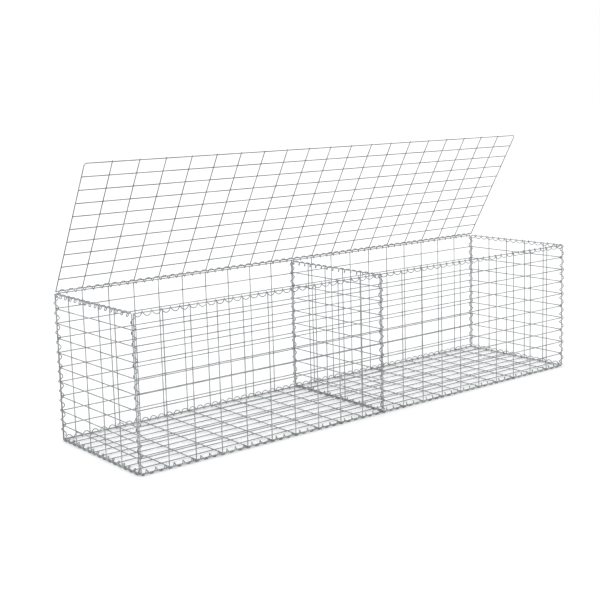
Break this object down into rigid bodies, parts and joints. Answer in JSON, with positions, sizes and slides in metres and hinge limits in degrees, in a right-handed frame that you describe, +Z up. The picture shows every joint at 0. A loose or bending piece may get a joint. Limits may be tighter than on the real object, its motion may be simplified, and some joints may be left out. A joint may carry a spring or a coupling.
{
  "type": "gabion basket",
  "caption": "Long welded-wire gabion basket with a divider, laced along its edges with wire coils, and a hinged lid over both bays; filled with stone to make a wall.",
  "frame": {"origin": "middle of the basket's footprint, on the ground that the bottom coils lie on", "axes": "+X along the length, +Y from the open side towards the hinged back, +Z up"},
  "size_m": [2.0272, 0.5254, 0.9493],
  "materials": {
    "mesh": "satin galvanised wire",
    "coil": "satin galvanised wire"
  },
  "bodies": {
    "basket": {"base_panel": "mesh", "front_panel": "mesh", "back_panel": "mesh", "left_end": "mesh", "right_end": "mesh", "divider": "mesh", "front_bottom_coil": "coil", "back_bottom_coil": "coil", "left_bottom_coil": "coil", "right_bottom_coil": "coil", "divider_bottom_coil": "coil", "left_front_coil": "coil", "left_back_coil": "coil", "right_front_coil": "coil", "right_back_coil": "coil", "divider_front_coil": "coil", "divider_back_coil": "coil", "hinge_coil": "coil", "front_top_coil": "coil", "left_top_coil": "coil", "right_top_coil": "coil", "divider_top_coil": "coil"},
    "lid": {"lid": "mesh"}
  },
  "joints": [
    {"name": "lid_hinge", "type": "hinge", "parent": "basket", "child": "lid", "pos_m": [0, 0.25, 0.51252], "axis": [-1, 0, 0], "range_deg": [-59, 120]}
  ]
}
